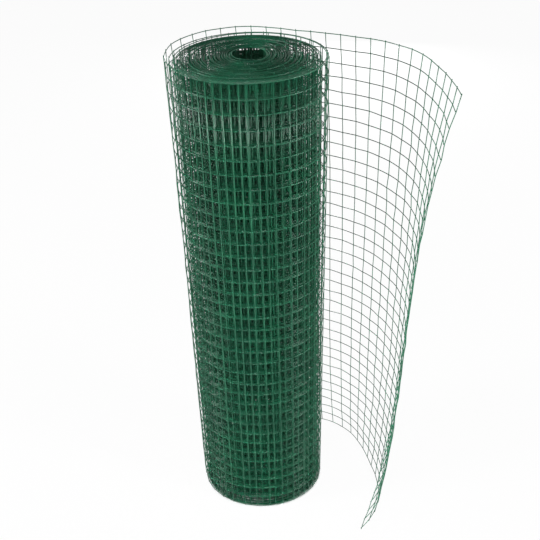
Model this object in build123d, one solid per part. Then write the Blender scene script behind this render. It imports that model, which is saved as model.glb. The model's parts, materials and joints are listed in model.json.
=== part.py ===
"""Roll of plastic-coated welded wire fencing, standing on its end.

One length of square welded mesh is wound on itself, and its outer end has sprung loose.
The wound turns are one turned solid with the open bore that they leave, and each turn is a
ridge on both ends. The loose end is modelled wire by wire: it leaves the roll at the front,
goes round its left side, swings off it at the rear and stands out on the right as a curved
tail, curled tighter at the foot than at the top. X is to the right, Y to the rear, Z up along
the bore. The origin is on the floor, at the middle of the bore.
"""

import os
from math import atan2, cos, degrees, hypot, radians, sin

from build123d import *

# Welded mesh: square cells, the same number of cells up the whole sheet
mesh_cell = 25.0
mesh_rows = 36
wire_size = 1.4
weld_depth = 0.4

# Wound roll: bore, and the turns lying on each other round it
bore_diameter = 50.0
turn_pitch = 2.0
turn_count = 40
turn_groove_width = 1.2
turn_groove_depth = 2.0

# Loose end: where it leaves the roll, then its stages, each so many cells at one bend radius,
# which is so much wider or tighter than the roll's own radius
leave_angle = 265.0
leave_clearance = 0.1
stage_cells = (4, 2, 4, 6, 7, 5, 5)
stage_wider_top = (-1.0, 142.0, -18.0, 34.0, 975.0, 41.0, 795.0)
stage_wider_foot = (-1.0, -5.0, -4.0, 186.0, 31.0, 220.0, 23.0)

# From foot to top the loose end holds its middle shape, and bends most near its two edges
bend_rows = (0, 6, 12, 24, 30, 36)
bend_shares = (0.0, 0.28, 0.42, 0.58, 0.72, 1.0)

# The loose end is divided into panels of about equal width, each a solid of its own
panel_count = 4
panel_seam = 0.5

# Derived sizes
bore_radius = bore_diameter / 2
roll_radius = bore_radius + turn_count * turn_pitch
sheet_height = mesh_rows * mesh_cell + wire_size
layer_offset = wire_size - weld_depth
sheet_cells = sum(stage_cells)
start_radius = roll_radius + leave_clearance + wire_size / 2
touch_radius = hypot(roll_radius + wire_size / 2, mesh_cell / 2)
rest_radius = hypot(start_radius + wire_size / 2, mesh_cell / 2)


def wound_roll():
    """Turned solid of the wound turns: a half section with a ridge for each turn, revolved."""
    low = turn_groove_depth
    high = sheet_height - turn_groove_depth
    half_groove = turn_groove_width / 2
    foot = [(bore_radius, 0)]
    head = [(bore_radius, sheet_height)]
    for turn in range(1, turn_count):
        groove_radius = bore_radius + turn * turn_pitch
        foot += [(groove_radius - half_groove, 0), (groove_radius, low), (groove_radius + half_groove, 0)]
        head += [
            (groove_radius - half_groove, sheet_height),
            (groove_radius, high),
            (groove_radius + half_groove, sheet_height),
        ]
    foot.append((roll_radius, 0))
    head.append((roll_radius, sheet_height))
    section = make_face(Plane.XZ * Polyline(*foot, *head[::-1], close=True))
    return revolve(section, axis=Axis.Z)


def heading_step(heading):
    """Unit step in plan along a heading in degrees from +X."""
    return Vector(cos(radians(heading)), sin(radians(heading)))


def left_of(direction):
    """Unit normal on the left of a direction in plan, which is the outer face of the sheet."""
    return Vector(-direction.Y, direction.X).normalized()


def edge_plan(stage_wider):
    """Plan of one long edge of the loose end, a point for each upright wire.

    Every cell is a straight step. The first one is square to the roll's radius, and each turns
    clockwise from the one before by the cell over the bend radius of its stage.
    """
    heading = leave_angle - 90
    points = [Vector(start_radius, 0).rotate(Axis.Z, leave_angle)]
    for cells, wider in zip(stage_cells, stage_wider):
        for _ in range(cells):
            points.append(points[-1] + heading_step(heading) * mesh_cell)
            heading -= degrees(mesh_cell / (roll_radius + wider))
    return points


def clear_of_roll(point):
    """A plan point as it is or, where its cells would touch the roll, moved straight out of it."""
    return point if point.length > touch_radius else point.normalized() * rest_radius


def row_plan(row, foot_plan, top_plan):
    """Plan of one row of the loose end, a share of the way from its foot edge to its top edge."""
    bend = next(i for i, bend_row in enumerate(bend_rows) if bend_row > row or bend_row == mesh_rows)
    low_row, high_row = bend_rows[bend - 1 : bend + 1]
    low_share, high_share = bend_shares[bend - 1 : bend + 1]
    share = low_share + (high_share - low_share) * (row - low_row) / (high_row - low_row)
    points = [foot + (top - foot) * share for foot, top in zip(foot_plan, top_plan)]
    return points[:1] + [clear_of_roll(point) for point in points[1:]]


def level_wire(points, level):
    """Wire that follows a row of plan points at one level, square in section and mitred."""
    directions = [(after - before).normalized() for before, after in zip(points, points[1:])]
    outer = []
    inner = []
    for index, point in enumerate(points):
        before = directions[max(index - 1, 0)]
        after = directions[min(index, len(directions) - 1)]
        mitre = (left_of(before) + left_of(after)).normalized()
        reach = wire_size / 2 / mitre.dot(left_of(after))
        outer.append(point + mitre * reach)
        inner.append(point - mitre * reach)
    face = make_face(Polyline(*outer, *inner[::-1], close=True))
    return Pos(0, 0, level) * extrude(face, amount=wire_size)


def upright_wire(plans, column):
    """Wire up the outer face of the level wires, as straight lengths from bend to bend."""
    after = min(column + 1, sheet_cells)
    bends = []
    for row in bend_rows:
        side = left_of(plans[row][after] - plans[row][after - 1]) * layer_offset
        bends.append(plans[row][column] + side + Vector(0, 0, sheet_height * row / mesh_rows))
    middle = plans[mesh_rows // 2]
    direction = middle[after] - middle[after - 1]
    section = Rot(0, 0, degrees(atan2(direction.Y, direction.X))) * Rectangle(wire_size, wire_size)
    lengths = []
    for low, high in zip(bends, bends[1:]):
        rise = high - low
        face = Pos(low.X, low.Y, low.Z) * section
        lengths.append(extrude(face, amount=rise.length, dir=rise.normalized()))
    return lengths


def tail_panel(panel, plans):
    """One panel of the loose end: its level wires and upright wires, fused where they cross."""
    first = sheet_cells * panel // panel_count
    last = sheet_cells * (panel + 1) // panel_count
    is_end = panel == panel_count - 1
    end_trim = wire_size / 2 if is_end else -wire_size / 2 - panel_seam
    wires = []
    for row, plan in enumerate(plans):
        points = plan[first : last + 1]
        points[0] -= (points[1] - points[0]).normalized() * (wire_size / 2)
        points[-1] += (points[-1] - points[-2]).normalized() * end_trim
        wires.append(level_wire(points, row * mesh_cell))
    for column in range(first, last + 1 if is_end else last):
        wires += upright_wire(plans, column)
    return wires[0].fuse(*wires[1:]).clean()


os.makedirs("parts", exist_ok=True)
export_step(wound_roll(), "parts/wound_roll.step")
foot_edge = edge_plan(stage_wider_foot)
top_edge = edge_plan(stage_wider_top)
sheet_plans = [row_plan(row, foot_edge, top_edge) for row in range(mesh_rows + 1)]
for panel_index in range(panel_count):
    export_step(tail_panel(panel_index, sheet_plans), f"parts/tail_mesh_{panel_index + 1}.step")
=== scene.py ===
"""A standing roll of green PVC-coated welded mesh whose outer end has sprung loose into a tail."""
import json

import bpy
import numpy as np
from mathutils import Matrix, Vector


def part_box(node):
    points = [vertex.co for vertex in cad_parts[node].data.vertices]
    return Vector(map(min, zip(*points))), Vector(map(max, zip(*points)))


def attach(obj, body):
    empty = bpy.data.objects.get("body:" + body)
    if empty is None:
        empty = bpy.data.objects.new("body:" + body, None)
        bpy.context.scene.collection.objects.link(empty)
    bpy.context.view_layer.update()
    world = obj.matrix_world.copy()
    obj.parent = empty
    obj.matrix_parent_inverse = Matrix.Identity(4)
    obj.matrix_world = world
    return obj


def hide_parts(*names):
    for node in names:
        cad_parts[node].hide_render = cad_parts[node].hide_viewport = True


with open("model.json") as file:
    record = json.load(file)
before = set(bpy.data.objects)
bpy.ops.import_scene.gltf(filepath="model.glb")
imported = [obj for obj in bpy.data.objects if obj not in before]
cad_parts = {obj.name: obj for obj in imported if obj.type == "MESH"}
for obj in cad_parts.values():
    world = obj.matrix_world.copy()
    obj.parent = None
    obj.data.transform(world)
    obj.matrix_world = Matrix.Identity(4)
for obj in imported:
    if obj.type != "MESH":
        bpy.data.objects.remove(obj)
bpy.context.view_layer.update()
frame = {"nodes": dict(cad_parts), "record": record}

# Wound turns, the long wires
# About sixteen metres of the sheet is wound on itself. Its 37 long wires of steel with a green
# PVC coat run round the roll one above the other, each a flat spiral from the bore outwards.
MM = 0.001
wire = 1.4 * MM
mesh_rows = 36
turn_pitch = 2.0 * MM
loose_angle = np.radians(211)
oval_wide_share = 1.122
oval_deep_share = 0.927
oval_shift = np.array([-1.5 * MM, -14.3 * MM])
bunch_turns = 2.5
bunch_reach = 0.8 * MM
calm_turns = 8
slack_reach = 12.0 * MM
slack_angle = np.radians(82)
slack_power = 1.5
slack_turns = 2.1
slack_start_turns = 0.6
slack_end_turns = 0.3
drift_reach = 1.2 * MM
drift_rate = 2.6  # radians a turn, as every rate here
quick_drift_rate = 4.1
quick_drift_phase = 1
quick_drift_share = 0.6
edge_lift = (1 + quick_drift_share) * drift_reach  # lowest dip of a turn: none is under the floor
uneven_reach = 0.3 * MM
uneven_waves = 1.7
hidden_sides = 4
seen_sides = 6

bore_radius = frame["record"]["mounts"][0]["dims"]["r_mm"] * MM
roll_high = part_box("wound_roll")[1]
sheet_height = roll_high[2]
cell = (sheet_height - wire) / mesh_rows
levels = edge_lift + wire / 2 + cell * np.arange(mesh_rows + 1)
wound_depth = roll_high[0] - wire - bore_radius
wound_turns = wound_depth / turn_pitch
draw = np.random.default_rng(36)


def wound_plan(turn, rise):
    """Plan of the wound sheet at a number of turns from the bore and a share of its height: a
    spiral that runs clockwise outwards, its turns in bunches with gaps between. It is pressed a
    little oval, and its last two turns stand off behind, most at the top."""
    to_go = wound_turns - turn
    angle = loose_angle + 2 * np.pi * to_go
    wound_share = turn / wound_turns
    bunched = np.sin(2 * np.pi * to_go / bunch_turns) * np.clip(to_go / calm_turns, 0, 1) ** 3
    radius = bore_radius + wire / 2 + turn_pitch * turn + bunch_reach * bunched
    starting = np.clip((slack_turns - to_go) / slack_start_turns, 0, 1)
    ending = np.clip(to_go / slack_end_turns, 0, 1)
    eased = starting ** 2 * (3 - 2 * starting) * ending ** 2 * (3 - 2 * ending)
    behind = ((1 + np.cos(angle - slack_angle)) / 2) ** slack_power
    radius = radius + slack_reach * rise * eased * behind
    across = radius * np.cos(angle) * (1 + (oval_wide_share - 1) * wound_share)
    deep = radius * np.sin(angle) * (1 + (oval_deep_share - 1) * wound_share)
    shift = oval_shift * wound_share[..., None]
    return np.stack([across, deep], axis=-1) + shift


def wound_drift(turn):
    """Height of a turn over the outer one: the sheet rides up and down from turn to turn, never in
    step with the turn before, and settles level in the last turns."""
    quick_wave = np.sin(quick_drift_rate * turn + quick_drift_phase)
    waves = np.sin(drift_rate * turn) + quick_drift_share * quick_wave
    return drift_reach * waves * np.clip((wound_turns - turn) / calm_turns, 0, 1) ** 3


def tubes(paths, reference, radius, sides):
    """Round wires along many paths at once: a regular polygon carried along each path, square to
    it, with a cap on both ends. paths is wires by points by 3; reference is never along them."""
    ahead = np.gradient(paths, axis=1)
    ahead /= np.linalg.norm(ahead, axis=2, keepdims=True)
    aside = np.cross(reference, ahead)
    aside /= np.linalg.norm(aside, axis=2, keepdims=True)
    above = np.cross(ahead, aside)
    turn = 2 * np.pi * np.arange(sides)[:, None] / sides
    ring = aside[:, :, None] * np.cos(turn) + above[:, :, None] * np.sin(turn)
    points = paths[:, :, None] + radius * ring
    index = np.arange(points.size // 3).reshape(points.shape[:3])
    beside = np.roll(index, -1, axis=2)
    walls = np.stack([index[:, :-1], beside[:, :-1], beside[:, 1:], index[:, 1:]], axis=-1)
    caps = np.concatenate([index[:, 0, ::-1], index[:, -1]])
    return points.reshape(-1, 3), walls.reshape(-1, 4).tolist() + caps.tolist()


def linear(code):
    """Linear colour of an sRGB hex code."""
    srgb = np.array([int(code[at:at + 2], 16) for at in (1, 3, 5)]) / 255
    line = np.where(srgb > 0.04045, ((srgb + 0.055) / 1.055) ** 2.4, srgb / 12.92)
    return (*line, 1.0)


def add_node(tree, kind, inputs=(), **settings):
    """Add a node, set its settings, and give each named input a value or a link from a socket."""
    node = tree.nodes.new(kind)
    for name, value in settings.items():
        setattr(node, name, value)
    for name, value in dict(inputs).items():
        if isinstance(value, bpy.types.NodeSocket):
            tree.links.new(value, node.inputs[name])
        else:
            node.inputs[name].default_value = value
    return node


def pvc_coat():
    """Extruded PVC over galvanised wire: a smooth skin with a soft gloss. The green is a little
    uneven along the wire, and the gloss breaks up where the skin is scuffed from winding."""
    shade_patch = 45 * MM
    scuff_patch = 6 * MM
    skin_grain = 1.5 * MM  # finer on the real wire, drawn coarse enough to show
    coat = bpy.data.materials.new("pvc_coat")
    coat.use_nodes = True
    tree = coat.node_tree
    shader = tree.nodes["Principled BSDF"]
    place = add_node(tree, "ShaderNodeTexCoord").outputs["Object"]

    def patches(size, detail):
        """Socket of soft random patches of a size."""
        noise = {"Vector": place, "Scale": 1 / size, "Detail": detail}
        return add_node(tree, "ShaderNodeTexNoise", noise).outputs["Fac"]

    green = add_node(tree, "ShaderNodeValToRGB", {"Fac": patches(shade_patch, 3.0)})
    green.color_ramp.elements[0].position = 0.3
    green.color_ramp.elements[0].color = linear("#146246")
    green.color_ramp.elements[1].position = 0.7
    green.color_ramp.elements[1].color = linear("#1f7754")
    gloss = {"Value": patches(scuff_patch, 2.0), "To Min": 0.26, "To Max": 0.44}
    gloss = add_node(tree, "ShaderNodeMapRange", gloss)
    skin = {"Height": patches(skin_grain, 1.0), "Strength": 0.15, "Distance": 0.1 * MM}
    skin = add_node(tree, "ShaderNodeBump", skin)
    tree.links.new(green.outputs["Color"], shader.inputs["Base Color"])
    tree.links.new(gloss.outputs["Result"], shader.inputs["Roughness"])
    tree.links.new(skin.outputs["Normal"], shader.inputs["Normal"])
    shader.inputs["IOR"].default_value = 1.53
    shader.inputs["Specular IOR Level"].default_value = 0.5
    return coat


coated_wire = pvc_coat()


def add_piece(name, points, faces, *replaced):
    """Put a worked-out mesh into the scene as a smooth piece of the coated sheet."""
    mesh = bpy.data.meshes.new(name)
    mesh.from_pydata(points.tolist(), [], faces)
    mesh.shade_smooth()
    mesh.materials.append(coated_wire)
    piece = bpy.data.objects.new(name, mesh)
    bpy.context.scene.collection.objects.link(piece)
    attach(piece, "root")
    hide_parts(*replaced)


def wound_long_wires(first_turn, last_turn, turn_points, sides):
    """Long wires between two turns: the spiral plan at every level, a hair uneven in height and
    in radius."""
    turn = np.linspace(first_turn, last_turn, int((last_turn - first_turn) * turn_points) + 1)
    phase = draw.uniform(0, 2 * np.pi, (2, mesh_rows + 1, 1))
    sag, waver = uneven_reach * np.sin(2 * np.pi * turn * uneven_waves + phase)
    sag[[0, -1]] = 0
    plan = wound_plan(turn, levels[:, None] / sheet_height)
    away = plan / np.linalg.norm(plan, axis=2, keepdims=True)
    plan = plan + waver[:, :, None] * away
    height = levels[:, None] + wound_drift(turn) + sag
    return tubes(np.concatenate([plan, height[:, :, None]], axis=2), (0, 0, 1), wire / 2, sides)


# The sheet is drawn in four bands from the bore outwards: first turn, last turn, points a turn, sides
inner_turn = 0.35 * wound_turns
middle_turn = 0.65 * wound_turns
outer_turn = wound_turns - 4
bands = {
    "inner": (0, inner_turn, 30, hidden_sides),
    "second": (inner_turn, middle_turn, 36, hidden_sides),
    "third": (middle_turn, outer_turn, 44, hidden_sides),
    "outer": (outer_turn, wound_turns, 60, seen_sides),
}
for band, sizes in bands.items():
    add_piece(f"wound_long_wires_{band}", *wound_long_wires(*sizes), "wound_roll")

# Wound turns, the cross wires
# A cross wire is welded over the long wires at every cell, on the sheet's outer face, so in the
# roll they stand upright, one cell apart along the spiral.
layer_step = 0.8 * wire
along_spread = 0.5 * MM
along_wander = 5.0 * MM
wander_rate = 1.9
quick_wander_rate = 3.1
quick_wander_phase = 2
lean_spread = 0.8 * MM
bow_spread = 0.3 * MM
upright_points = 7
plan_points = 8001

fine_turn = np.linspace(0, wound_turns, plan_points)
fine_plan = wound_plan(fine_turn, 0)
fine_lean = wound_plan(fine_turn, 1) - fine_plan
fine_length = np.concatenate([[0], np.cumsum(np.linalg.norm(np.diff(fine_plan, axis=0), axis=1))])
wound_length = fine_length[-1]


def outward(plan):
    """Unit normal on the left of a clockwise plan path: the sheet's outer face."""
    ahead = np.gradient(plan, axis=-2)
    ahead /= np.linalg.norm(ahead, axis=-1, keepdims=True)
    return np.stack([-ahead[..., 1], ahead[..., 0]], axis=-1)


def wound_cross_wires():
    """Upright wires one cell apart along the spiral, a little closer and wider in the inner turns.
    Each is a nearly straight line that leans and bows by a fraction of a millimetre."""
    along = np.arange(wound_length - cell, 2 * cell, -cell)
    turn = np.interp(along, fine_length, fine_turn)
    inside = np.clip((wound_turns - calm_turns / 2 - turn) / calm_turns, 0, 1)
    quick_wave = np.sin(quick_wander_rate * turn + quick_wander_phase)
    along += along_wander * inside * (np.sin(wander_rate * turn) + quick_wave)
    along += draw.normal(0, along_spread, len(along))
    turn = np.interp(along, fine_length, fine_turn)
    fine = np.concatenate([fine_plan, fine_lean, outward(fine_plan)], axis=1)
    found = np.stack([np.interp(turn, fine_turn, column) for column in fine.T], axis=-1)
    foot, leaning, face = found[:, :2], found[:, 2:4], found[:, 4:]
    along_face = np.stack([face[:, 1], -face[:, 0]], axis=-1)
    rise = np.linspace(0, 1, upright_points)
    lean = draw.normal(0, lean_spread, (len(along), 1)) * (rise - 0.5)
    bow = draw.normal(0, bow_spread, (len(along), 1)) * np.sin(np.pi * rise)
    plan = (foot + layer_step * face)[:, None] + leaning[:, None] * rise[:, None]
    plan = plan + along_face[:, None] * (lean + bow)[:, :, None]
    height = edge_lift + rise * sheet_height + wound_drift(turn)[:, None]
    paths = np.concatenate([plan, height[:, :, None]], axis=2)
    return tubes(paths, (1, 0, 0), wire / 2, seen_sides)


add_piece("wound_cross_wires", *wound_cross_wires(), "wound_roll")

# Loose end
# The outer end of the same sheet has sprung open: it hugs the roll on the left, swings off it at
# the rear and stands out on the right as a tail, curled tighter at the foot than at the top.
stage_cells = (2, 4, 6, 7, 5, 5)
top_radii = (156 * MM, 100 * MM, 125 * MM, 1215 * MM, 152 * MM, 485 * MM)
foot_radii = (99 * MM, 87 * MM, 545 * MM, 120 * MM, 395 * MM, 132 * MM)
hold_share = 0.6
weld_out_spread = 0.6 * MM
weld_up_spread = 0.4 * MM
cell_steps = 4
small_turn = 0.001
loose_cells = sum(stage_cells)


def edge_plan(radii):
    """Plan of one long edge of the loose end: from where the wound turns end, every small step
    turns by its length over the radius of its stage."""
    step = cell / cell_steps
    turn = np.repeat(step / np.array(radii), np.array(stage_cells) * cell_steps)
    start, ahead = wound_plan(np.array([wound_turns, wound_turns + small_turn]), 0)
    leave = np.arctan2(*(ahead - start)[::-1])
    heading = leave - np.cumsum(turn) + turn / 2
    steps = step * np.stack([np.cos(heading), np.sin(heading)], axis=1)
    return np.concatenate([[start], start + np.cumsum(steps, axis=0)])


foot_edge = edge_plan(foot_radii)
top_edge = edge_plan(top_radii)


def loose_sheet():
    """Crossing lines of the loose end, levels by points by 3: between its two edges the sheet
    holds its middle shape and bends most near them, and every weld is a little out of place."""
    middle = np.linspace(-1, 1, mesh_rows + 1)
    share = 0.5 + 0.5 * ((1 - hold_share) * middle + hold_share * middle ** 3)
    plan = foot_edge + share[:, None, None] * (top_edge - foot_edge)
    face = outward(plan)
    shape = (mesh_rows + 1, loose_cells + 1)
    columns = np.arange(loose_cells + 1)
    steps = np.linspace(0, loose_cells, loose_cells * cell_steps + 1)
    free = np.clip(columns / stage_cells[1], 0, 1)
    out = draw.normal(0, weld_out_spread, shape) * free
    up = draw.normal(0, weld_up_spread, shape) * free
    up[0] = np.abs(up[0])
    up[-1] = -np.abs(up[-1])
    out = np.stack([np.interp(steps, columns, row) for row in out])
    up = np.stack([np.interp(steps, columns, row) for row in up])
    plan = plan + face * out[:, :, None]
    return np.concatenate([plan, (levels[:, None] + up)[:, :, None]], axis=2), face


sheet, sheet_face = loose_sheet()
tail_nodes = [name for name in frame["nodes"] if name.startswith("tail_mesh")]
add_piece("loose_long_wires", *tubes(sheet, (0, 0, 1), wire / 2, seen_sides), *tail_nodes)

crossings = sheet[:, ::cell_steps]
upright = crossings + layer_step * np.pad(sheet_face[:, ::cell_steps], ((0, 0), (0, 0), (0, 1)))
upright = upright.transpose(1, 0, 2).copy()
upright[:, 0, 2] = edge_lift
upright[:, -1, 2] = edge_lift + sheet_height
add_piece("loose_cross_wires", *tubes(upright, (1, 0, 0), wire / 2, seen_sides), *tail_nodes)

# Studio
# White paper that runs out of sight and a white backdrop, with a lamp low on each side, a weak
# one behind, and a narrow one down the front. The ceiling is unlit, so that the gloss shows no
# white from above.
lamp_size = 0.5
wide_beam = np.pi
narrow_beam = np.radians(20)
roll_middle = np.array([0, 0, sheet_height / 2])
roll_front = np.array([0, -0.2, sheet_height / 2])
own_white_share = 0.96
backdrop_rise = 0.35
ceiling_rise = 0.7
ceiling_share = 0.1
room_fill = 0.03


def seen_directly(tree):
    """Socket that is 1 on rays that show the white to the eye: straight on, mirrored or through."""
    rays = add_node(tree, "ShaderNodeLightPath").outputs
    seen = {0: rays["Is Camera Ray"], 1: rays["Is Glossy Ray"]}
    seen = add_node(tree, "ShaderNodeMath", seen, operation="MAXIMUM").outputs[0]
    seen = {0: seen, 1: rays["Is Transmission Ray"]}
    return add_node(tree, "ShaderNodeMath", seen, operation="MAXIMUM").outputs[0]


def studio_floor():
    """White paper floor: seen directly it is nearly all its own white, with a faint shadow. Under
    the roll, inside the oval of its foot, it shows only the light that falls on it."""
    half = 8.0
    oval_blur_share = 0.01
    foot_half = np.array([oval_wide_share, oval_deep_share]) * roll_high[0]
    paper = bpy.data.materials.new("white_paper")
    paper.use_nodes = True
    tree = paper.node_tree
    tree.nodes.clear()
    place = add_node(tree, "ShaderNodeTexCoord").outputs["Object"]
    oval = {"Vector": place, "Location": (*oval_shift, 0), "Scale": (*foot_half, 1)}
    oval = add_node(tree, "ShaderNodeMapping", oval, vector_type="TEXTURE").outputs["Vector"]
    away = add_node(tree, "ShaderNodeVectorMath", {0: oval}, operation="LENGTH").outputs["Value"]
    white = {"Value": away, "From Min": 1 - oval_blur_share, "From Max": 1 + oval_blur_share}
    white["To Max"] = own_white_share
    white = add_node(tree, "ShaderNodeMapRange", white).outputs["Result"]
    share = {0: seen_directly(tree), 1: white}
    share = add_node(tree, "ShaderNodeMath", share, operation="MULTIPLY").outputs[0]
    lit = add_node(tree, "ShaderNodeBsdfDiffuse", {"Color": linear("#f2f2f2")}).outputs[0]
    own = add_node(tree, "ShaderNodeEmission", {"Color": linear("#ffffff"), "Strength": 1.0}).outputs[0]
    both = add_node(tree, "ShaderNodeMixShader", {0: share, 1: lit, 2: own}).outputs[0]
    add_node(tree, "ShaderNodeOutputMaterial", {"Surface": both})
    corners = [(-half, -half, 0), (half, -half, 0), (half, half, 0), (-half, half, 0)]
    mesh = bpy.data.meshes.new("studio_floor")
    mesh.from_pydata(corners, [], [(0, 1, 2, 3)])
    mesh.materials.append(paper)
    floor = bpy.data.objects.new("studio_floor", mesh)
    bpy.context.scene.collection.objects.link(floor)


def soft_box(name, place, aim, beam, power):
    """Square lamp at a place, turned to an aim, that shines no wider than a beam."""
    lamp = bpy.data.lights.new(name, "AREA")
    lamp.size = lamp_size
    lamp.spread = beam
    lamp.energy = power
    box = bpy.data.objects.new(name, lamp)
    bpy.context.scene.collection.objects.link(box)
    back = np.array(place) - aim
    back = back / np.linalg.norm(back)
    right = np.cross((0, 0, 1), back)
    right = right / np.linalg.norm(right)
    turn = np.column_stack([right, np.cross(back, right), back])
    box.matrix_world = Matrix.Translation(place) @ Matrix(turn.tolist()).to_4x4()


studio_floor()
soft_box("left_light", place=(-2.4, -0.5, 1.25), aim=roll_middle, beam=wide_beam, power=67)
soft_box("right_light", place=(2.2, -1.2, 1.0), aim=roll_middle, beam=wide_beam, power=62)
soft_box("rear_light", place=(0.4, 2.4, 0.4), aim=roll_middle, beam=wide_beam, power=26)
soft_box("top_light", place=(0.0, -0.45, 2.8), aim=roll_front, beam=narrow_beam, power=0.36)

room = bpy.data.worlds.new("white_room")
bpy.context.scene.world = room
room.use_nodes = True
room_tree = room.node_tree
room_way = add_node(room_tree, "ShaderNodeTexCoord").outputs["Generated"]
room_rise = add_node(room_tree, "ShaderNodeSeparateXYZ", {"Vector": room_way}).outputs["Z"]
room_white = {"Value": room_rise, "From Min": backdrop_rise, "From Max": ceiling_rise}
room_white.update({"To Min": 1.0, "To Max": ceiling_share})
room_white = add_node(room_tree, "ShaderNodeMapRange", room_white).outputs["Result"]
room_light = {"Value": seen_directly(room_tree), "To Min": room_fill, "To Max": room_white}
room_light = add_node(room_tree, "ShaderNodeMapRange", room_light).outputs["Result"]
room_tree.links.new(room_light, room_tree.nodes["Background"].inputs["Strength"])
room_tree.nodes["Background"].inputs["Color"].default_value = linear("#ffffff")

# Camera: where the photograph was taken from, looking down on the roll, leaning a little
camera_place = (0.0, -1.287, 1.415)
camera_yaw = np.radians(1.04)
camera_pitch = np.radians(35.4)
camera_roll = np.radians(-1.6)
picture_px = 540
focal_px = 888

level_right = np.array([np.cos(camera_yaw), -np.sin(camera_yaw), 0])
view = np.array(
    [
        np.sin(camera_yaw) * np.cos(camera_pitch),
        np.cos(camera_yaw) * np.cos(camera_pitch),
        -np.sin(camera_pitch),
    ]
)
level_up = np.cross(level_right, view)
camera_right = np.cos(camera_roll) * level_right + np.sin(camera_roll) * level_up
camera_up = -np.sin(camera_roll) * level_right + np.cos(camera_roll) * level_up
lens = bpy.data.cameras.new("camera")
lens.sensor_width = 36
lens.lens = lens.sensor_width * focal_px / picture_px
camera = bpy.data.objects.new("camera", lens)
bpy.context.scene.collection.objects.link(camera)
camera_turn = Matrix(np.column_stack([camera_right, camera_up, -view]).tolist()).to_4x4()
camera.matrix_world = Matrix.Translation(camera_place) @ camera_turn
bpy.context.scene.camera = camera
bpy.context.scene.view_settings.view_transform = "Standard"
